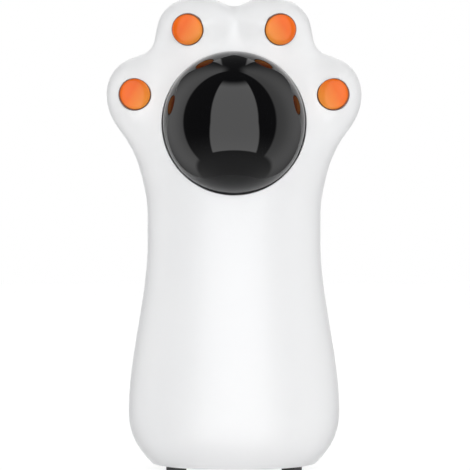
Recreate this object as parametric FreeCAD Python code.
"""A rechargeable cat laser toy shaped like a raised paw.

Two hollow shells meet on the widest outline of the paw. A smoked dome fills the palm, and behind it
a laser swings on two geared axes. A board, a cell and a button sit in the arm, over a screwed base.

Sizes are in millimetres. X runs across the paw, Y runs from the front (negative) to the back, and Z
points up from the floor. Pieces are drawn with Y zero on the plane where the shells meet, and each is
moved by origin_shift as it is written, so that the origin lies under the middle of the whole object.
"""

import FreeCAD, Part
import math
import os

V = FreeCAD.Vector
X_AXIS, Y_AXIS, Z_AXIS = V(1, 0, 0), V(0, 1, 0), V(0, 0, 1)
FRONT, BACK = -1, 1
LEFT, RIGHT = -1, 1

# Outline of the arm, seen from the front
belly_half_width = 33.7
belly_height = 18.7
waist_half_width = 27.7
waist_height = 72.5
edge_tuck = 9.6
tuck_power = 2.3
arm_depth_ratio = 0.92
rim_height = 1.8

# Outline of the head: places are measured from the dome's centre
dome_height = 109.6
arm_top_drop = 8.6
arm_top_round = 18.7
palm_drop = 0.3
palm_half_width = 30.0
palm_half_height = 26.0
outer_toe_x, outer_toe_rise = 32.8, 10.1
outer_toe_half_width, outer_toe_half_height = 7.0, 9.0
inner_toe_x, inner_toe_rise = 11.4, 30.9
inner_toe_half_width, inner_toe_half_height = 12.7, 9.9
palm_blend, toe_blend, inner_toe_blend = 11.6, 16.0, 5.0

# Depth of the head, and the stretch of neck over which the arm turns into it
palm_front_depth = 25.5
palm_back_depth = 23.5
palm_rounding = 15.0
neck_low_drop, neck_high_drop = 29.1, 3.1
toe_front_depth, toe_back_depth = 22.0, 17.5
toe_taper_height = 42.0

# Shell wall, and the clearances round what fits in it
wall = 2.2
fit_gap = 0.15
pocket_gap = 0.12
screw_gap = 0.05

# Dome, its flange and the ring that it seats on
dome_radius = 22.4
dome_wall = 1.8
dome_centre_depth = 21.5
flange_thickness = 1.2
flange_width = 2.6
flange_gap = 0.35
seat_ring_width = 2.0
seat_depth = 17.0

# Toe beans, from the dome's centre
bean_radius = 5.0
bean_rise_above_skin = 2.1
bean_edge_below_skin = 0.8
bean_pocket_depth = 2.2
bean_boss_width = 1.3
bean_boss_depth = 4.6
bean_peg_radius = 1.5
outer_bean_x, outer_bean_rise = 30.8, 9.1
inner_bean_x, inner_bean_rise = 14.6, 29.2

# Gimbal frame behind the dome
frame_thickness = 2.4
frame_window_radius = 20.5
frame_boss_radius = 2.8
frame_boss_gap = 0.6
shelf_thickness = 2.0
shelf_half_width = 18.5
pivot_boss_radius = 4.0
pivot_boss_length = 6.0

# Pan and tilt axes, and their gears
pan_axis_y = -15.0
gear_module = 0.5
gear_backlash = 0.10
tooth_addendum, tooth_dedendum = 0.85, 1.15
pressure_angle = math.radians(20)
pan_gear_teeth, pan_pinion_teeth = 36, 12
tilt_gear_teeth, tilt_pinion_teeth = 38, 14
pan_gear_width, pan_pinion_width = 2.0, 2.4
tilt_gear_width, tilt_pinion_width = 1.8, 2.0
gear_window_reach, gear_window_radius = 5.4, 1.6
washer_thickness = 0.5
washer_radius = 4.5
pivot_radius = 1.5
pivot_head_radius, pivot_head_height = 2.8, 1.0
running_gap = 0.05
turntable_thickness = 3.2
turntable_drop = 8.1

# Yoke, carrier and laser
carrier_half_width, carrier_half_height = 6.4, 4.3
carrier_front, carrier_rear = 5.0, 5.5
collar_radius = 2.6
yoke_gap = 1.0
yoke_arm_thickness, yoke_arm_half_depth = 1.8, 4.0
yoke_arm_rise = 4.0
barrel_radius = 3.25
barrel_front, barrel_rear = 8.0, 6.0
lens_radius, lens_thickness = 1.9, 0.8
lens_recess = 0.6
lens_bulge = 0.3
driver_thickness = 0.8
set_screw_radius, set_screw_length = 1.0, 2.0
bracket_margin = 6.0

# Motors
pan_motor_radius, pan_motor_length = 7.5, 11.5
pan_ear_radius, pan_ear_reach, pan_ear_thickness = 3.2, 10.0, 1.0
tilt_motor_radius, tilt_motor_length = 5.0, 10.0
tilt_motor_screw_reach = 3.2
motor_shaft_radius = 0.75
motor_bore_depth = 4.0
gear_side_gap = 0.5

# Screws
screw_radius, screw_head_radius, screw_head_height = 1.25, 2.3, 1.8
small_screw_radius, small_head_radius, small_head_height = 0.8, 1.5, 0.9
pan_motor_screw_length = 2.8
slot_width, slot_depth = 0.6, 0.5
case_screw_length = 14.0
case_screw_seat = 7.0
case_boss_radius = 3.9
case_boss_bite = 0.4
lower_case_screw_x, lower_case_screw_height = 20.5, 26.0
upper_case_screw_angle = math.radians(41)
frame_screw_length = 5.2
frame_screw_angles = (74, 106, 250, 290)
base_screw_length = 8.0
base_boss_radius = 3.2
base_boss_height = 10.0

# Base plate and feet
base_thickness = 2.2
base_edge = 1.2
foot_radius, foot_height = 3.2, 2.8
foot_recess = 1.0
foot_edge_gap = 0.6
foot_angle = math.radians(30)

# Board and what is soldered to it
board_half_width, board_thickness = 12.0, 1.2
board_low, board_high = 14.0, 66.0
board_screw_length = 3.2
board_boss_radius = 2.6
board_boss_inset = 3.0
port_height = 24.0
port_length, port_half_width, port_half_height = 9.3, 4.47, 1.63
port_metal = 0.3
port_setback = 1.6
port_recess_half_width, port_recess_half_height, port_recess_depth = 6.6, 3.7, 0.9
tongue_half_width, tongue_half_height = 3.35, 0.35
switch_height = 54.0
switch_half_width, switch_body_height = 3.0, 1.6
plunger_radius, plunger_rise = 1.7, 0.6
plunger_travel = 0.3
led_height = 63.5
led_half_width, led_thickness = 0.8, 0.6
pipe_radius, pipe_flange_radius, pipe_flange_thickness = 1.2, 2.0, 0.8

# Power button
button_radius = 5.0
button_proud = 0.5
button_flange_width, button_flange_thickness = 1.3, 0.9
button_dish_radius = 22.0
button_fillet = 0.5

# Cell and its tray
cell_radius, cell_length = 9.15, 49.8
cell_low = 7.5
cell_gap = 0.3
cap_radius, cap_height = 4.0, 0.8
tray_thickness = 1.6
tray_wing = 6.5
pad_thickness, pad_half_width, pad_length = 2.0, 6.0, 30.0
tray_screw_length = 7.0
tray_screw_low, tray_screw_high = 22.0, 52.0
connector_size = (8.0, 3.4, 5.0)
lead_radius = 0.6
lead_bend = 3.0

# How finely the skin is sampled
arm_rows, head_rows, skin_columns = 20, 20, 30
far_turns = (12, 30, 50, 70, 90)
fan_lean = 35
ray_start, ray_end, ray_halvings = 1.0, 80.0, 30

# Worked out from the sizes above
arm_top_height = dome_height - arm_top_drop
seat_y = -seat_depth
frame_front_y = seat_y + flange_thickness
frame_back_y = frame_front_y + frame_thickness
dome_centre_y = -dome_centre_depth
hole_radius = dome_radius + fit_gap
flange_radius = dome_radius + flange_width
counterbore_radius = flange_radius + flange_gap
seat_ring_radius = counterbore_radius + seat_ring_width
frame_boss_reach = counterbore_radius + frame_boss_radius + frame_boss_gap
large_screw = (screw_radius, screw_head_radius, screw_head_height)
fine_screw = (small_screw_radius, small_head_radius, small_head_height)
turntable_top = dome_height - turntable_drop
turntable_bottom = turntable_top - turntable_thickness
shelf_top = turntable_bottom - washer_thickness
shelf_bottom = shelf_top - shelf_thickness
pan_centre_distance = gear_module * (pan_gear_teeth + pan_pinion_teeth) / 2
tilt_centre_distance = gear_module * (tilt_gear_teeth + tilt_pinion_teeth) / 2
pan_motor_y = pan_axis_y + pan_centre_distance
tilt_motor_y = pan_axis_y + tilt_centre_distance
yoke_inner_x = carrier_half_width + yoke_gap
yoke_outer_x = yoke_inner_x + yoke_arm_thickness
base_top = rim_height + base_thickness


def smooth_step(value, low, high):
    """0 below low, 1 above high, and an S-shaped rise between them."""
    share = max(0.0, min(1.0, (value - low) / (high - low)))
    return share * share * (3 - 2 * share)


def mix(a, b, share):
    return a + (b - a) * share


def smooth_union(a, b, blend):
    """The nearer of two surfaces, with the valley between them filled over the blend's width."""
    share = max(0.0, min(1.0, 0.5 + 0.5 * (b - a) / blend))
    return mix(b, a, share) - blend * share * (1 - share)


def ellipse_gap(x, z, centre_x, centre_z, half_width, half_height):
    """Signed distance, nearly, from a point to an ellipse in the outline's plane."""
    u, w = (x - centre_x) / half_width, (z - centre_z) / half_height
    reach = math.hypot(u, w)
    slope = math.hypot(u / half_width, w / half_height) + 1e-9
    return reach * (reach - 1) / slope


def arm_half_width(z):
    """Half the arm's width at a height: tucked in at the rim, full at the belly, slim at the waist."""
    if z < belly_height:
        return belly_half_width - edge_tuck * ((belly_height - z) / belly_height) ** tuck_power
    return mix(belly_half_width, waist_half_width, smooth_step(z, belly_height, waist_height))


def outline_gap(x, z):
    """Signed distance, nearly, from a point to the paw's outline as seen from the front."""
    x = abs(x)
    if z > arm_top_height:
        gap = ellipse_gap(x, z, 0, arm_top_height, arm_half_width(z), arm_top_round)
    else:
        gap = x - arm_half_width(z)
    palm = ellipse_gap(x, z, 0, dome_height - palm_drop, palm_half_width, palm_half_height)
    inner_height = dome_height + inner_toe_rise
    near, far = (
        ellipse_gap(side * x, z, inner_toe_x, inner_height, inner_toe_half_width, inner_toe_half_height)
        for side in (1, -1)
    )
    outer = ellipse_gap(
        x, z, outer_toe_x, dome_height + outer_toe_rise, outer_toe_half_width, outer_toe_half_height
    )
    gap = smooth_union(gap, palm, palm_blend)
    gap = smooth_union(gap, smooth_union(near, far, inner_toe_blend), toe_blend)
    return smooth_union(gap, outer, toe_blend)


def skin_gap(x, y, z):
    """Signed distance, nearly, from a point to the paw's skin: the outline, swept back and rounded."""
    head = smooth_step(z, dome_height - neck_low_drop, dome_height - neck_high_drop)
    width = arm_half_width(z)
    rounding = mix(width, palm_rounding, head)
    taper = smooth_step(z, dome_height, dome_height + toe_taper_height)
    palm_depth, toe_depth = (
        (palm_front_depth, toe_front_depth) if y < 0 else (palm_back_depth, toe_back_depth)
    )
    depth = mix(width * arm_depth_ratio, mix(palm_depth, toe_depth, taper), head)
    stretch = mix(1 / arm_depth_ratio, 1.0, head)
    across = outline_gap(x, z) + rounding
    along = (abs(y) - depth) * stretch + rounding
    return min(max(across, along), 0) + math.hypot(max(across, 0), max(along, 0)) - rounding


def along_ray(start, direction, level):
    """The point of the skin, or of its copy offset by level, on a ray from inside the paw."""
    near, far = ray_start, ray_end
    for _ in range(ray_halvings):
        middle = (near + far) / 2
        point = start + direction * middle
        if skin_gap(point.x, point.y, point.z) < level:
            near = middle
        else:
            far = middle
    return start + direction * near


def skin_y(x, z, side, level=0.0):
    """Y of the skin, or of its offset copy, at a place seen from the front or the back."""
    return along_ray(V(x, 0, z), V(0, side, 0), level).y


def skin_normal(point):
    """Outward normal of the skin at a point."""
    step = 0.1
    slopes = []
    for axis in (X_AXIS, Y_AXIS, Z_AXIS):
        ahead, behind = point + axis * step, point - axis * step
        slopes.append(skin_gap(*ahead) - skin_gap(*behind))
    normal = V(*slopes)
    return normal.normalize()


def skin_rows(level, side, low):
    """Rings of points round the whole paw: level ones up the arm, then a fan over the head.

    The fan closes at a point beyond the parting plane, where this half is cut away.
    """
    near = [180 * column / skin_columns for column in range(skin_columns + 1)]
    left = [-turn for turn in reversed(far_turns)]
    right = [180 + turn for turn in far_turns[:-1]]
    turns = [math.radians(turn) for turn in left + near + right]
    rings = [V(math.cos(turn), side * math.sin(turn), 0) for turn in turns]
    lean = math.radians(fan_lean)
    closing = V(0, -side * math.sin(lean), math.cos(lean))
    rows = []
    for row in range(arm_rows):
        centre = V(0, 0, mix(low, dome_height, row / arm_rows))
        rows.append([along_ray(centre, ring, level) for ring in rings])
    centre = V(0, 0, dome_height)
    for row in range(head_rows):
        rise = math.pi / 2 * row / head_rows
        ways = [(ring * math.cos(rise) + closing * math.sin(rise)).normalize() for ring in rings]
        rows.append([along_ray(centre, way, level) for way in ways])
    rows.append([along_ray(centre, closing, level)] * len(rings))
    return [row + row[:1] for row in rows]


def whole_paw(level, side, low):
    """The whole paw as a solid, offset by level. Its skin is true on the given side and a little past it."""
    surface = Part.BSplineSurface()
    surface.interpolate(skin_rows(level, side, low))
    surface.setVPeriodic()
    skin = surface.toShape()
    edges = [edge for edge in skin.Edges if not edge.Degenerated]
    foot = min(edges, key=lambda edge: edge.BoundBox.ZMax)
    bottom = Part.Face(Part.Wire([foot]))
    shell = Part.Shell([skin, bottom])
    shell.sewShape()
    solid = Part.Solid(shell)
    if solid.Volume < 0:
        solid.reverse()
    return solid


def paw_slice(level, side, low, from_y, to_y):
    """The part of the paw between two planes across Y."""
    return whole_paw(level, side, low).common(box((-100, from_y, -50), (100, to_y, 250)))


def box(low, high):
    return Part.makeBox(high[0] - low[0], high[1] - low[1], high[2] - low[2], V(*low))


def rod(radius, start, end):
    """A cylinder from one point to another."""
    start, end = V(*start), V(*end)
    return Part.makeCylinder(radius, (end - start).Length, start, end - start)


def ellipse_disc(half_width, half_depth, low, high):
    """An upright elliptical slab, centred on the arm."""
    if half_width >= half_depth:
        ellipse = Part.Ellipse(V(half_width, 0, low), V(0, half_depth, low), V(0, 0, low))
    else:
        ellipse = Part.Ellipse(V(0, half_depth, low), V(half_width, 0, low), V(0, 0, low))
    return Part.Face(Part.Wire([ellipse.toShape()])).extrude(V(0, 0, high - low))


def rounded_slot(half_width, half_height, x, z, near_y, far_y):
    """A slot with round ends, lying along X and cut along Y."""
    straight = half_width - half_height
    middle = box((x - straight, near_y, z - half_height), (x + straight, far_y, z + half_height))
    ends = [
        rod(half_height, (x + side * straight, near_y, z), (x + side * straight, far_y, z))
        for side in (LEFT, RIGHT)
    ]
    return middle.fuse(ends).removeSplitter()


def screw(head_point, direction, length, radius, head_radius, head_height):
    """A slotted screw: its shank runs from head_point along direction, and its head lies behind."""
    head_point, direction = V(*head_point), V(*direction)
    shank = rod(radius, head_point, head_point + direction * length)
    head = rod(head_radius, head_point - direction * head_height, head_point)
    across = X_AXIS if abs(direction.x) < 0.5 else Y_AXIS
    other = direction.cross(across)
    top = head_point - direction * head_height
    corner = top - across * head_radius - other * (slot_width / 2) - direction * slot_depth
    slot = Part.makeBox(2 * head_radius, slot_width, 2 * slot_depth)
    slot.Placement = FreeCAD.Placement(corner, FreeCAD.Rotation(across, other, direction, "XYZ"))
    return shank.fuse(head).removeSplitter().cut(slot)


def gear(teeth, width, phase, bore):
    """A spur gear that stands on the XY plane, with one tooth centred on the angle phase."""
    pitch = gear_module * teeth / 2
    base = pitch * math.cos(pressure_angle)
    involute = math.tan(pressure_angle) - pressure_angle
    half_pitch_angle = (math.pi * gear_module / 2 - gear_backlash) / (2 * pitch)

    def half_tooth(radius):
        angle = math.acos(min(1.0, base / radius))
        return half_pitch_angle + involute - (math.tan(angle) - angle)

    tip = pitch + tooth_addendum * gear_module
    root = pitch - tooth_dedendum * gear_module
    radii = (root, max(base, root), pitch, (pitch + tip) / 2, tip)
    points = []
    for tooth in range(teeth):
        centre = phase + 2 * math.pi * tooth / teeth
        flank = [(radius, half_tooth(radius)) for radius in radii]
        for radius, half in flank:
            points.append(V(radius * math.cos(centre - half), radius * math.sin(centre - half), 0))
        for radius, half in reversed(flank):
            points.append(V(radius * math.cos(centre + half), radius * math.sin(centre + half), 0))
    outline = Part.makePolygon(points + [points[0]])
    return Part.Face(outline).extrude(V(0, 0, width)).cut(rod(bore, (0, 0, -1), (0, 0, width + 1)))


def onto_x(shape, x, y, z):
    """Turns a piece that stands on the XY plane so that it stands on a plane across X."""
    shape = shape.copy()
    shape.Placement = FreeCAD.Placement(V(x, y, z), FreeCAD.Rotation(Y_AXIS, Z_AXIS, X_AXIS, "XYZ"))
    return shape


def lead(points, radius, bend):
    """A wire along straight runs joined by tangent arcs."""
    points = [V(*point) for point in points]
    edges, start = [], points[0]
    for before, corner, after in zip(points, points[1:], points[2:]):
        inward = (corner - before).normalize()
        outward = (after - corner).normalize()
        turn = inward.getAngle(outward)
        reach = bend * math.tan(turn / 2)
        first, last = corner - inward * reach, corner + outward * reach
        middle_way = (outward - inward).normalize()
        middle = corner + middle_way * (bend / math.cos(turn / 2) - bend)
        edges += [Part.makeLine(start, first), Part.Arc(first, middle, last).toShape()]
        start = last
    edges.append(Part.makeLine(start, points[-1]))
    path = Part.Wire(edges)
    way = points[1] - points[0]
    ring = Part.Wire([Part.makeCircle(radius, points[0], way)])
    return path.makePipeShell([ring], True, False)


def bean_seat(side, bean_x, rise):
    """Where a toe bean sits: a point of the skin, and the way the skin faces there."""
    x, z = side * bean_x, dome_height + rise
    point = V(x, skin_y(x, z, FRONT), z)
    return point, skin_normal(point)


def bean_seats():
    return {
        "toe_bean_outer_left": bean_seat(LEFT, outer_bean_x, outer_bean_rise),
        "toe_bean_inner_left": bean_seat(LEFT, inner_bean_x, inner_bean_rise),
        "toe_bean_inner_right": bean_seat(RIGHT, inner_bean_x, inner_bean_rise),
        "toe_bean_outer_right": bean_seat(RIGHT, outer_bean_x, outer_bean_rise),
    }


def frame_screw_places():
    """(x, z) of the four screws round the dome: two above it and two below."""
    turns = [math.radians(angle) for angle in frame_screw_angles]
    return [
        (frame_boss_reach * math.cos(turn), dome_height + frame_boss_reach * math.sin(turn))
        for turn in turns
    ]


def case_screw_places():
    """(x, z) of the four screws that hold the shells together."""
    reach = counterbore_radius + case_boss_radius - case_boss_bite
    high_x = reach * math.cos(upper_case_screw_angle)
    high_z = dome_height + reach * math.sin(upper_case_screw_angle)
    places = ((lower_case_screw_x, lower_case_screw_height), (high_x, high_z))
    return [(side * x, z) for x, z in places for side in (LEFT, RIGHT)]


def foot_places():
    """(x, y) of the feet by name. A base screw goes up over each foot."""
    reach_x = arm_half_width(rim_height) - base_edge - foot_radius - foot_edge_gap
    reach_y = arm_half_width(rim_height) * arm_depth_ratio - base_edge - foot_radius - foot_edge_gap
    x, y = reach_x * math.cos(foot_angle), reach_y * math.sin(foot_angle)
    return {
        "foot_front_left": (-x, -y),
        "foot_front_right": (x, -y),
        "foot_rear_left": (-x, y),
        "foot_rear_right": (x, y),
    }


def base_half_axes(grow=0.0):
    edge = arm_half_width(rim_height)
    return edge - base_edge + grow, edge * arm_depth_ratio - base_edge + grow


board_rear_y = skin_y(0, port_height, BACK) - port_setback - port_length
board_front_y = board_rear_y - board_thickness
cell_y = board_front_y - pad_thickness - cell_radius
tray_back_y = cell_y - cell_radius - cell_gap
tray_front_y = tray_back_y - tray_thickness
origin_shift = (dome_centre_depth + dome_radius - belly_half_width * arm_depth_ratio) / 2


def board_screw_places():
    x = board_half_width - board_boss_inset
    low, high = board_low + board_boss_inset, board_high - board_boss_inset
    return [(side * x, z) for z in (low, high) for side in (LEFT, RIGHT)]


def tray_screw_places():
    x = cell_radius + tray_thickness + tray_wing / 2
    return [(side * x, z) for z in (tray_screw_low, tray_screw_high) for side in (LEFT, RIGHT)]


def hollow_half(side, kept):
    """One shell: the paw's half, less a hollow that the kept posts stand in, and the base plate's seat."""
    shell = paw_slice(0.0, side, rim_height, *sorted((0, side * 100)))
    hollow = paw_slice(-wall, side, rim_height - base_thickness, *sorted((-side, side * 100)))
    for post in kept:
        hollow = hollow.cut(post)
    shell = shell.cut(hollow)
    return shell.cut(ellipse_disc(*base_half_axes(fit_gap), rim_height - 1, base_top))


def base_bosses(side):
    """The posts over the feet that the base screws bite into, each with a rib to the wall."""
    posts = []
    for x, y in foot_places().values():
        if y * side < 0:
            continue
        post = rod(base_boss_radius, (x, y, base_top), (x, y, base_top + base_boss_height))
        way = V(x, y, 0).normalize()
        across = Z_AXIS.cross(way)
        rib = Part.makeBox(base_boss_radius * 3, 2.0, base_boss_height)
        corner = V(x, y, base_top) - across * 1.0
        rib.Placement = FreeCAD.Placement(corner, FreeCAD.Rotation(way, across, Z_AXIS, "XYZ"))
        posts.append(post.fuse(rib))
    return posts


def base_pilots():
    return [
        rod(screw_radius + screw_gap, (x, y, base_top - 1), (x, y, base_top + base_screw_length - 1))
        for x, y in foot_places().values()
    ]


def front_shell():
    """The front of the paw: dome hole and seat ring, bean pockets, and posts for frame, tray and rear."""
    kept = [rod(seat_ring_radius, (0, -60, dome_height), (0, frame_front_y, dome_height))]
    for x, z in frame_screw_places():
        kept.append(rod(frame_boss_radius, (x, -60, z), (x, frame_front_y, z)))
    for x, z in case_screw_places():
        kept.append(rod(frame_boss_radius, (x, -60, z), (x, 1, z)))
    for x, z in tray_screw_places():
        kept.append(rod(frame_boss_radius, (x, -60, z), (x, tray_front_y, z)))
    for point, normal in bean_seats().values():
        boss_end = point - normal * bean_boss_depth
        kept.append(rod(bean_radius + bean_boss_width, point + normal * 3, boss_end))
    shell = hollow_half(FRONT, kept + base_bosses(FRONT))
    holes = [rod(hole_radius, (0, -60, dome_height), (0, 0, dome_height))]
    depth = frame_screw_length - frame_thickness + 0.5
    for x, z in frame_screw_places():
        holes.append(rod(screw_radius + screw_gap, (x, frame_front_y - depth, z), (x, 1, z)))
    depth = case_screw_length - case_screw_seat + 0.5
    for x, z in case_screw_places():
        holes.append(rod(screw_radius + screw_gap, (x, -depth, z), (x, 1, z)))
    depth = tray_screw_length - tray_thickness + 0.5
    for x, z in tray_screw_places():
        holes.append(rod(screw_radius + screw_gap, (x, tray_front_y - depth, z), (x, 1, z)))
    for point, normal in bean_seats().values():
        floor = point - normal * bean_pocket_depth
        holes.append(rod(bean_radius + pocket_gap, floor, point + normal * 6))
        holes.append(rod(bean_peg_radius + screw_gap, floor - normal * 6, floor + normal * 0.5))
    holes += base_pilots()
    holes.append(rod(counterbore_radius, (0, seat_y, dome_height), (0, 1, dome_height)))
    return shell.cut(holes)


def rear_shell():
    """The back of the paw: button, light and port holes, board posts and screw wells."""
    kept = []
    for x, z in case_screw_places():
        kept.append(rod(case_boss_radius, (x, -1, z), (x, 60, z)))
    for x, z in board_screw_places():
        kept.append(rod(board_boss_radius, (x, board_rear_y, z), (x, 60, z)))
    shell = hollow_half(BACK, kept + base_bosses(BACK))
    holes = [rod(button_radius + fit_gap, (0, board_rear_y, switch_height), (0, 60, switch_height))]
    holes.append(rod(pipe_radius + pocket_gap, (0, board_rear_y, led_height), (0, 60, led_height)))
    skin = skin_y(0, port_height, BACK)
    slot = (port_half_width + fit_gap, port_half_height + fit_gap, 0, port_height)
    recess = (port_recess_half_width, port_recess_half_height, 0, port_height)
    holes.append(rounded_slot(*slot, board_rear_y, 60))
    holes.append(rounded_slot(*recess, skin - port_recess_depth, 60))
    for x, z in case_screw_places():
        holes.append(rod(screw_radius + 0.2, (x, -1, z), (x, 60, z)))
        holes.append(rod(screw_head_radius + 0.4, (x, case_screw_seat, z), (x, 60, z)))
    for x, z in board_screw_places():
        end = board_front_y + board_screw_length + 0.5
        holes.append(rod(small_screw_radius + screw_gap, (x, board_rear_y - 1, z), (x, end, z)))
    holes += base_pilots()
    return shell.cut(holes)


def base_plate():
    """The cover under the paw, with a round pocket and a screw hole at each foot."""
    plate = ellipse_disc(*base_half_axes(), rim_height, base_top)
    holes = []
    for x, y in foot_places().values():
        holes.append(rod(foot_radius + pocket_gap, (x, y, 0), (x, y, rim_height + foot_recess)))
        holes.append(rod(screw_radius + 0.2, (x, y, 0), (x, y, base_top + 1)))
    return plate.cut(holes)


def foot(x, y):
    """A rubber foot: a disc with a softened lower edge, hollow above to clear the screw's head."""
    top = rim_height + foot_recess
    pad = rod(foot_radius, (x, y, 0), (x, y, top))
    lower = [edge for edge in pad.Edges if edge.BoundBox.ZMax < 0.01]
    pad = pad.makeFillet(0.5, lower)
    return pad.cut(rod(screw_head_radius + 0.15, (x, y, top - screw_head_height - 0.1), (x, y, top + 1)))


def base_screws():
    return [
        screw((x, y, rim_height + foot_recess), (0, 0, 1), base_screw_length, *large_screw)
        for x, y in foot_places().values()
    ]


def case_screws():
    return [
        screw((x, case_screw_seat, z), (0, -1, 0), case_screw_length, *large_screw)
        for x, z in case_screw_places()
    ]


def dome_cover():
    """The smoked dome: a half ball on a short skirt, with a flange that the frame clamps."""
    inner_radius = dome_radius - dome_wall
    centre = V(0, dome_centre_y, dome_height)
    forward = box((-60, -90, 0), (60, dome_centre_y, 250))
    ball = Part.makeSphere(dome_radius, centre).common(forward)
    hollow = Part.makeSphere(inner_radius, centre).common(forward)
    skirt_end = (0, frame_front_y, dome_height)
    skirt = rod(dome_radius, centre, skirt_end)
    flange = rod(flange_radius, (0, seat_y, dome_height), skirt_end)
    body = ball.fuse([skirt, flange]).removeSplitter()
    return body.cut(hollow.fuse(rod(inner_radius, centre, (0, 1, dome_height))))


def toe_bean(point, normal):
    """A toe bean: a low domed cap on a disc, with a peg behind."""
    floor = point - normal * (bean_pocket_depth - 0.05)
    edge = point - normal * bean_edge_below_skin
    disc = rod(bean_radius, floor, edge)
    rise = bean_edge_below_skin + bean_rise_above_skin
    ball_radius = (bean_radius**2 + rise**2) / (2 * rise)
    ball = Part.makeSphere(ball_radius, edge - normal * (ball_radius - rise))
    cap = ball.common(rod(bean_radius, edge, edge + normal * (rise + 1)))
    peg = rod(bean_peg_radius, floor - normal * (bean_boss_depth - bean_pocket_depth), floor)
    return disc.fuse([cap, peg]).removeSplitter()


def gimbal_frame():
    """The plate that clamps the dome's flange, with ears for screws and a shelf for the pan drive."""
    plate = rod(flange_radius, (0, frame_front_y, dome_height), (0, frame_back_y, dome_height))
    ears = []
    for x, z in frame_screw_places():
        ears.append(rod(frame_boss_radius, (x, frame_front_y, z), (x, frame_back_y, z)))
        outward = V(x, 0, z - dome_height).normalize()
        across = outward.cross(Y_AXIS)
        tab = Part.makeBox(frame_boss_reach, frame_thickness, 2 * frame_boss_radius)
        corner = V(0, frame_front_y, dome_height) - across * frame_boss_radius
        tab.Placement = FreeCAD.Placement(corner, FreeCAD.Rotation(outward, Y_AXIS, across, "XYZ"))
        ears.append(tab)
    window = rod(frame_window_radius, (0, -60, dome_height), (0, 60, dome_height))
    window = window.common(box((-60, -60, shelf_top), (60, 60, 250)))
    plate = plate.fuse(ears).cut(window)
    shelf_rear = pan_motor_y + pan_motor_radius + 0.5
    shelf = box((-shelf_half_width, frame_front_y, shelf_bottom), (shelf_half_width, shelf_rear, shelf_top))
    corners = [
        edge for edge in shelf.Edges if edge.BoundBox.YMin > shelf_rear - 0.01 and edge.BoundBox.ZLength > 1
    ]
    shelf = shelf.makeFillet(4.0, corners)
    boss_low = shelf_top - pivot_boss_length
    boss = rod(pivot_boss_radius, (0, pan_axis_y, boss_low), (0, pan_axis_y, shelf_top))
    gussets = []
    for side in (LEFT, RIGHT):
        x = side * (pan_ear_reach + pan_ear_radius + 2.0)
        corner_points = [
            V(x, frame_front_y, shelf_bottom),
            V(x, pan_motor_y, shelf_bottom),
            V(x, frame_back_y, shelf_bottom - 8.0),
            V(x, frame_front_y, shelf_bottom - 8.0),
        ]
        rib = Part.Face(Part.makePolygon(corner_points + corner_points[:1]))
        gussets.append(rib.extrude(V(side * 1.6, 0, 0)))
    frame = plate.fuse([shelf, boss] + gussets).removeSplitter()
    holes = [rod(pivot_radius + screw_gap, (0, pan_axis_y, 0), (0, pan_axis_y, 200))]
    holes.append(rod(motor_shaft_radius + 0.4, (0, pan_motor_y, 0), (0, pan_motor_y, 200)))
    for side in (LEFT, RIGHT):
        x = side * pan_ear_reach
        holes.append(rod(small_screw_radius + screw_gap, (x, pan_motor_y, 0), (x, pan_motor_y, 200)))
    for x, z in frame_screw_places():
        holes.append(rod(screw_radius + 0.2, (x, -60, z), (x, 60, z)))
    return frame.cut(holes)


def frame_screws():
    return [
        screw((x, frame_back_y, z), (0, -1, 0), frame_screw_length, *large_screw)
        for x, z in frame_screw_places()
    ]


def pan_motor():
    """The pan motor: a round can with two ears, hanging under the shelf."""
    low = shelf_bottom - pan_motor_length
    can = rod(pan_motor_radius, (0, pan_motor_y, low), (0, pan_motor_y, shelf_bottom))
    rims = [edge for edge in can.Edges if edge.BoundBox.ZMax < low + 0.01]
    can = can.makeFillet(0.6, rims)
    ear_low = shelf_bottom - pan_ear_thickness
    ears = box(
        (-pan_ear_reach, pan_motor_y - pan_ear_radius, ear_low),
        (pan_ear_reach, pan_motor_y + pan_ear_radius, shelf_bottom),
    )
    for side in (LEFT, RIGHT):
        x = side * pan_ear_reach
        ears = ears.fuse(rod(pan_ear_radius, (x, pan_motor_y, ear_low), (x, pan_motor_y, shelf_bottom)))
    body = can.fuse(ears).removeSplitter()
    bore = (0, pan_motor_y, shelf_bottom - motor_bore_depth)
    holes = [rod(motor_shaft_radius + running_gap, bore, (0, pan_motor_y, 200))]
    for side in (LEFT, RIGHT):
        x = side * pan_ear_reach
        holes.append(rod(small_screw_radius + 0.15, (x, pan_motor_y, ear_low - 1), (x, pan_motor_y, 200)))
    return body.cut(holes)


def pan_motor_screws():
    seat = shelf_bottom - pan_ear_thickness
    return [
        screw((side * pan_ear_reach, pan_motor_y, seat), (0, 0, 1), pan_motor_screw_length, *fine_screw)
        for side in (LEFT, RIGHT)
    ]


def pan_shaft():
    low = shelf_bottom - motor_bore_depth + 0.3
    high = turntable_bottom + 0.2 + pan_pinion_width + 0.4
    return rod(motor_shaft_radius, (0, pan_motor_y, low), (0, pan_motor_y, high))


def pan_pinion():
    phase = math.radians(-90) + math.pi / pan_pinion_teeth
    pinion = gear(pan_pinion_teeth, pan_pinion_width, phase, motor_shaft_radius)
    pinion.translate(V(0, pan_motor_y, turntable_bottom + 0.2))
    return pinion


def thrust_washer():
    ring = rod(washer_radius, (0, pan_axis_y, shelf_top), (0, pan_axis_y, turntable_bottom))
    return ring.cut(rod(pivot_radius + running_gap, (0, pan_axis_y, 0), (0, pan_axis_y, 200)))


def pan_pivot_pin():
    """The headed pin that the turntable turns on, pressed into the shelf's boss."""
    low = shelf_top - pivot_boss_length
    shank = rod(pivot_radius, (0, pan_axis_y, low), (0, pan_axis_y, turntable_top - 0.5))
    head = rod(
        pivot_head_radius,
        (0, pan_axis_y, turntable_top - pivot_head_height + running_gap),
        (0, pan_axis_y, turntable_top + running_gap),
    )
    return shank.fuse(head).removeSplitter()


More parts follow.
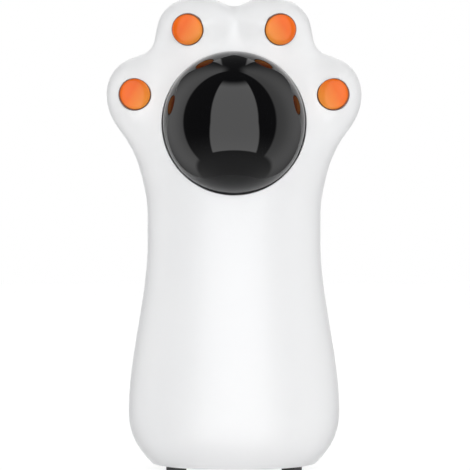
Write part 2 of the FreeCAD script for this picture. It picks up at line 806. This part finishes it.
def pan_turntable():
    """The toothed turntable and the yoke that grows from it, with a cheek for the tilt motor."""
    phase = math.radians(90)
    teeth = gear(pan_gear_teeth, pan_gear_width, phase, pivot_radius + running_gap)
    teeth.translate(V(0, pan_axis_y, turntable_bottom))
    root = gear_module * (pan_gear_teeth / 2 - tooth_dedendum)
    disc = rod(root, (0, pan_axis_y, turntable_bottom + pan_gear_width), (0, pan_axis_y, turntable_top))
    floor = turntable_bottom + pan_gear_width
    arms = []
    for side in (LEFT, RIGHT):
        low_x, high_x = sorted((side * yoke_inner_x, side * yoke_outer_x))
        arm = box(
            (low_x, pan_axis_y - yoke_arm_half_depth, floor),
            (high_x, pan_axis_y + yoke_arm_half_depth, dome_height),
        )
        cap = rod(yoke_arm_rise, (low_x, pan_axis_y, dome_height), (high_x, pan_axis_y, dome_height))
        arms += [arm, cap]
    cheek = box(
        (yoke_inner_x, pan_axis_y, dome_height - bracket_margin),
        (yoke_outer_x, tilt_motor_y, dome_height + bracket_margin),
    )
    cheek_end = rod(
        bracket_margin, (yoke_inner_x, tilt_motor_y, dome_height), (yoke_outer_x, tilt_motor_y, dome_height)
    )
    yoke = teeth.fuse([disc, cheek, cheek_end] + arms).removeSplitter()
    holes = [rod(pivot_radius + running_gap, (0, pan_axis_y, 0), (0, pan_axis_y, dome_height - 5))]
    head_low = (0, pan_axis_y, turntable_top - pivot_head_height)
    holes.append(rod(pivot_head_radius + 0.2, head_low, (0, pan_axis_y, dome_height - 5)))
    left, right = (-30, pan_axis_y, dome_height), (30, pan_axis_y, dome_height)
    holes.append(rod(pivot_radius + running_gap, left, right))
    middle, right = (0, tilt_motor_y, dome_height), (30, tilt_motor_y, dome_height)
    holes.append(rod(motor_shaft_radius + 0.4, middle, right))
    for rise in (-tilt_motor_screw_reach, tilt_motor_screw_reach):
        z = dome_height + rise
        holes.append(rod(small_screw_radius + screw_gap, (0, tilt_motor_y, z), (30, tilt_motor_y, z)))
    return yoke.cut(holes)


def tilt_motor():
    """The tilt motor: a small can screwed to the inside of the yoke's cheek."""
    far = yoke_inner_x - tilt_motor_length
    can = rod(tilt_motor_radius, (far, tilt_motor_y, dome_height), (yoke_inner_x, tilt_motor_y, dome_height))
    rims = [edge for edge in can.Edges if edge.BoundBox.XMax < far + 0.01]
    can = can.makeFillet(0.5, rims)
    bore = (yoke_inner_x - motor_bore_depth, tilt_motor_y, dome_height)
    holes = [rod(motor_shaft_radius + running_gap, bore, (30, tilt_motor_y, dome_height))]
    for rise in (-tilt_motor_screw_reach, tilt_motor_screw_reach):
        z = dome_height + rise
        tapped = (yoke_inner_x - 2.0, tilt_motor_y, z)
        holes.append(rod(small_screw_radius + screw_gap, tapped, (30, tilt_motor_y, z)))
    return can.cut(holes)


def tilt_motor_screws():
    """Two low-headed screws through the cheek, under the tilt pinion."""
    return [
        screw(
            (yoke_outer_x, tilt_motor_y, dome_height + rise), (-1, 0, 0), yoke_arm_thickness + 1.5,
            small_screw_radius, 1.3, 0.35,
        )
        for rise in (-tilt_motor_screw_reach, tilt_motor_screw_reach)
    ]


def tilt_gear_x():
    return yoke_outer_x + gear_side_gap


def tilt_shaft():
    low = yoke_inner_x - motor_bore_depth + 0.3
    high = tilt_gear_x() + tilt_pinion_width + 0.4
    return rod(motor_shaft_radius, (low, tilt_motor_y, dome_height), (high, tilt_motor_y, dome_height))


def tilt_pinion():
    """Its gap faces the tilt gear. Angles run from +Y towards +Z."""
    phase = math.pi + math.pi / tilt_pinion_teeth
    pinion = gear(tilt_pinion_teeth, tilt_pinion_width, phase, motor_shaft_radius)
    return onto_x(pinion, tilt_gear_x(), tilt_motor_y, dome_height)


def tilt_gear():
    wheel = gear(tilt_gear_teeth, tilt_gear_width, 0.0, pivot_radius)
    windows = []
    for step in range(6):
        turn = math.radians(60 * step + 30)
        x, y = gear_window_reach * math.cos(turn), gear_window_reach * math.sin(turn)
        windows.append(rod(gear_window_radius, (x, y, -1), (x, y, 5)))
    return onto_x(wheel.cut(windows), tilt_gear_x() + 0.1, pan_axis_y, dome_height)


def laser_carrier():
    """The block that holds the laser barrel, with a trunnion at each side."""
    block = box(
        (-carrier_half_width, pan_axis_y - carrier_front, dome_height - carrier_half_height),
        (carrier_half_width, pan_axis_y + carrier_rear, dome_height + carrier_half_height),
    )
    edges = [edge for edge in block.Edges if edge.BoundBox.YLength > 1]
    block = block.makeFillet(1.2, edges)
    left_end = -yoke_outer_x - 0.4
    right_end = tilt_gear_x() + 0.1 + tilt_gear_width + 0.4
    trunnions = rod(pivot_radius, (left_end, pan_axis_y, dome_height), (right_end, pan_axis_y, dome_height))
    collars = []
    for side in (LEFT, RIGHT):
        near = (side * carrier_half_width, pan_axis_y, dome_height)
        far = (side * (yoke_inner_x - 0.1), pan_axis_y, dome_height)
        collars.append(rod(collar_radius, near, far))
    body = block.fuse([trunnions] + collars).removeSplitter()
    bore = rod(barrel_radius + screw_gap, (0, -60, dome_height), (0, 10, dome_height))
    middle = (0, pan_axis_y, dome_height)
    tapped = rod(set_screw_radius + screw_gap, middle, (0, pan_axis_y, dome_height + 20))
    return body.cut([bore, tapped])


def laser_barrel():
    """The brass laser barrel, with a stepped mouth for its lens and a hollow core."""
    front, rear = pan_axis_y - barrel_front, pan_axis_y + barrel_rear
    barrel = rod(barrel_radius, (0, front, dome_height), (0, rear, dome_height))
    rims = [edge for edge in barrel.Edges if edge.BoundBox.YMax < front + 0.01]
    barrel = barrel.makeFillet(0.3, rims)
    lens_back = front + lens_recess + lens_thickness
    mouth = rod(lens_radius + screw_gap, (0, front - 1, dome_height), (0, lens_back, dome_height))
    core = rod(lens_radius - 0.5, (0, front, dome_height), (0, rear - 1.5, dome_height))
    return barrel.cut([mouth, core])


def laser_lens():
    front = pan_axis_y - barrel_front + lens_recess
    disc = rod(lens_radius, (0, front + lens_bulge, dome_height), (0, front + lens_thickness, dome_height))
    ball_radius = (lens_radius**2 + lens_bulge**2) / (2 * lens_bulge)
    ball = Part.makeSphere(ball_radius, V(0, front + ball_radius, dome_height))
    face = rod(lens_radius, (0, front - 1, dome_height), (0, front + lens_bulge, dome_height))
    return disc.fuse(ball.common(face)).removeSplitter()


def laser_driver_board():
    rear = pan_axis_y + barrel_rear
    disc = rod(barrel_radius - 0.3, (0, rear, dome_height), (0, rear + driver_thickness, dome_height))
    low = (-1.0, rear + driver_thickness - 0.1, dome_height - 0.6)
    high = (1.0, rear + driver_thickness + 0.5, dome_height + 0.6)
    return disc.fuse(box(low, high))


def laser_set_screw():
    low = dome_height + barrel_radius
    pin = rod(set_screw_radius, (0, pan_axis_y, low), (0, pan_axis_y, low + set_screw_length - 0.8))
    top = low + set_screw_length - 0.8
    return pin.cut(box((-2, pan_axis_y - 0.15, top - 0.4), (2, pan_axis_y + 0.15, top + 1)))


def main_board():
    """The circuit board, on its edge behind the cell."""
    board = box((-board_half_width, board_front_y, board_low), (board_half_width, board_rear_y, board_high))
    corners = [edge for edge in board.Edges if edge.BoundBox.YLength > 1]
    board = board.makeFillet(1.5, corners)
    holes = [rod(small_screw_radius + 0.15, (x, 0, z), (x, 60, z)) for x, z in board_screw_places()]
    return board.cut(holes)


def board_screws():
    return [
        screw((x, board_front_y, z), (0, 1, 0), board_screw_length, *fine_screw)
        for x, z in board_screw_places()
    ]


def board_chips():
    """The controller, the charger chip, a motor driver and two capacitors, on the board's rear face."""
    places = [
        (-7.5, 38.0, 7.0, 7.0, 1.0),
        (7.0, 34.0, 5.0, 4.0, 1.2),
        (7.0, 44.0, 4.0, 5.0, 1.2),
        (-9.0, 28.0, 3.0, 3.0, 2.0),
        (9.5, 26.5, 3.0, 3.0, 2.0),
    ]
    return [
        box((x - w / 2, board_rear_y, z - h / 2), (x + w / 2, board_rear_y + rise, z + h / 2))
        for x, z, w, h, rise in places
    ]


def usb_c_port():
    """The metal shell of the charging port: an oval tube that stands on the board."""
    far = board_rear_y + port_length
    tube = rounded_slot(port_half_width, port_half_height, 0, port_height, board_rear_y, far)
    inner = (port_half_width - port_metal, port_half_height - port_metal, 0, port_height)
    return tube.cut(rounded_slot(*inner, board_rear_y + 1.0, far + 1))


def usb_c_tongue():
    far = board_rear_y + port_length - 1.0
    return box(
        (-tongue_half_width, board_rear_y + 1.0, port_height - tongue_half_height),
        (tongue_half_width, far, port_height + tongue_half_height),
    )


def tact_switch():
    top = board_rear_y + switch_body_height
    body = box(
        (-switch_half_width, board_rear_y, switch_height - switch_half_width),
        (switch_half_width, top, switch_height + switch_half_width),
    )
    return body.cut(rod(plunger_radius + 0.1, (0, top - 1.2, switch_height), (0, top + 1, switch_height)))


def switch_plunger():
    top = board_rear_y + switch_body_height
    return rod(plunger_radius, (0, top - 0.8, switch_height), (0, top + plunger_rise, switch_height))


def power_button():
    """The button: a dished round cap with a flange that keeps it behind the rear shell."""
    low = board_rear_y + switch_body_height + plunger_rise
    face = skin_y(0, switch_height, BACK) + button_proud
    stop = skin_y(0, switch_height + button_radius + button_flange_width, BACK, -wall) - 0.15
    cap = rod(button_radius, (0, stop - 0.1, switch_height), (0, face, switch_height))
    rim = [edge for edge in cap.Edges if edge.BoundBox.YMin > face - 0.01]
    cap = cap.makeFillet(button_fillet, rim)
    dish = Part.makeSphere(button_dish_radius, V(0, face + button_dish_radius - 0.35, switch_height))
    flange = rod(
        button_radius + button_flange_width,
        (0, stop - button_flange_thickness, switch_height),
        (0, stop, switch_height),
    )
    stem = rod(plunger_radius, (0, low, switch_height), (0, stop, switch_height))
    return cap.cut(dish).fuse([flange, stem]).removeSplitter()


def status_led():
    return box(
        (-led_half_width, board_rear_y, led_height - led_half_width / 2),
        (led_half_width, board_rear_y + led_thickness, led_height + led_half_width / 2),
    )


def light_pipe():
    """The clear rod that carries the charging light to the skin, flanged inside the wall."""
    near = board_rear_y + led_thickness + 0.2
    stop = skin_y(0, led_height + pipe_flange_radius, BACK, -wall) - 0.1
    far = skin_y(0, led_height, BACK) + 0.15
    body = rod(pipe_radius, (0, near, led_height), (0, far, led_height))
    return body.fuse(
        rod(pipe_flange_radius, (0, stop - pipe_flange_thickness, led_height), (0, stop, led_height))
    ).removeSplitter()


def battery_cell():
    body = rod(cell_radius, (0, cell_y, cell_low), (0, cell_y, cell_low + cell_length))
    return body.makeFillet(0.6, body.Edges[:1] + body.Edges[2:])


def battery_cap():
    low = cell_low + cell_length
    return rod(cap_radius, (0, cell_y, low), (0, cell_y, low + cap_height))


def battery_tray():
    """The tray that holds the cell: a back, two sides, two ends, and wings with screw holes."""
    side_x = cell_radius + cell_gap
    outer_x = side_x + tray_thickness
    low, high = cell_low - cell_gap - tray_thickness, cell_low + cell_length + cap_height + cell_gap
    back = box((-outer_x, tray_front_y, low), (outer_x, tray_back_y, high + tray_thickness))
    walls = [
        box((-outer_x, tray_front_y, low), (-side_x, cell_y, high + tray_thickness)),
        box((side_x, tray_front_y, low), (outer_x, cell_y, high + tray_thickness)),
        box((-outer_x, tray_front_y, low), (outer_x, cell_y, low + tray_thickness)),
        box((-outer_x, tray_front_y, high), (outer_x, cell_y, high + tray_thickness)),
    ]
    wings = []
    for z in (tray_screw_low, tray_screw_high):
        reach = outer_x + tray_wing - tray_thickness
        wings.append(box((-reach, tray_front_y, z - 3.5), (reach, tray_back_y, z + 3.5)))
    tray = back.fuse(walls + wings).removeSplitter()
    holes = [rod(screw_radius + 0.2, (x, -60, z), (x, 60, z)) for x, z in tray_screw_places()]
    window = box((-5.0, tray_front_y - 1, cell_low + 10), (5.0, tray_back_y + 1, cell_low + cell_length - 10))
    return tray.cut(holes + [window])


def tray_screws():
    return [
        screw((x, tray_back_y, z), (0, -1, 0), tray_screw_length, *large_screw)
        for x, z in tray_screw_places()
    ]


def battery_pad():
    """The foam pad between the cell and the board."""
    middle = cell_low + cell_length / 2
    pad = box(
        (-pad_half_width, cell_y, middle - pad_length / 2),
        (pad_half_width, board_front_y, middle + pad_length / 2),
    )
    return pad.cut(rod(cell_radius + 0.02, (0, cell_y, 0), (0, cell_y, 200)))


def battery_plug():
    """The white plug for the cell's leads, standing on the board's front face near its top."""
    width, rise, height = connector_size
    top = board_high - 2.0
    return box((-width / 2, board_front_y - rise, top - height), (width / 2, board_front_y, top))


def battery_lead(side):
    """One wire from the cell's top, over and down into the plug."""
    rise = connector_size[1]
    plug_top = board_high - 2.0
    start = cell_low + cell_length + cap_height + cell_gap + tray_thickness
    start_y = cell_y - 3.0
    x = side * 2.0
    y = board_front_y - rise / 2
    over = plug_top + 7.0
    route = [(x, start_y, start), (x, start_y, over), (x, y, over), (x, y, plug_top)]
    return lead(route, lead_radius, lead_bend)


def pieces():
    """Every node by name, as a shape or as a list of separate solids."""
    built = {
        "front_shell": front_shell(),
        "rear_shell": rear_shell(),
        "base_plate": base_plate(),
        "base_screws": base_screws(),
        "case_screws": case_screws(),
        "dome_cover": dome_cover(),
        "gimbal_frame": gimbal_frame(),
        "frame_screws": frame_screws(),
        "pan_motor": pan_motor(),
        "pan_motor_screws": pan_motor_screws(),
        "pan_motor_shaft": pan_shaft(),
        "pan_pinion": pan_pinion(),
        "thrust_washer": thrust_washer(),
        "pan_pivot_pin": pan_pivot_pin(),
        "pan_turntable": pan_turntable(),
        "tilt_motor": tilt_motor(),
        "tilt_motor_screws": tilt_motor_screws(),
        "tilt_motor_shaft": tilt_shaft(),
        "tilt_pinion": tilt_pinion(),
        "tilt_gear": tilt_gear(),
        "laser_carrier": laser_carrier(),
        "laser_barrel": laser_barrel(),
        "laser_lens": laser_lens(),
        "laser_driver_board": laser_driver_board(),
        "laser_set_screw": laser_set_screw(),
        "main_board": main_board(),
        "board_screws": board_screws(),
        "board_chips": board_chips(),
        "usb_c_port": usb_c_port(),
        "usb_c_tongue": usb_c_tongue(),
        "tact_switch": tact_switch(),
        "switch_plunger": switch_plunger(),
        "power_button": power_button(),
        "status_led": status_led(),
        "light_pipe": light_pipe(),
        "battery_cell": battery_cell(),
        "battery_cap": battery_cap(),
        "battery_tray": battery_tray(),
        "tray_screws": tray_screws(),
        "battery_pad": battery_pad(),
        "battery_plug": battery_plug(),
        "battery_lead_red": battery_lead(LEFT),
        "battery_lead_black": battery_lead(RIGHT),
    }
    for name, place in foot_places().items():
        built[name] = foot(*place)
    for name, seat in bean_seats().items():
        built[name] = toe_bean(*seat)
    return built


def main():
    os.makedirs("parts", exist_ok=True)
    for name, shape in pieces().items():
        if isinstance(shape, list):
            shape = Part.makeCompound(shape)
        shape = shape.copy()
        shape.translate(V(0, origin_shift, 0))
        print(f"{name:22} solids {len(shape.Solids)} valid {shape.isValid()} volume {shape.Volume:10.2f}")
        shape.exportStep(f"parts/{name}.step")
    print(f"board rear {board_rear_y:.2f}, cell {cell_y:.2f}, origin shift {origin_shift:.3f}")


if __name__ == "__main__":
    main()
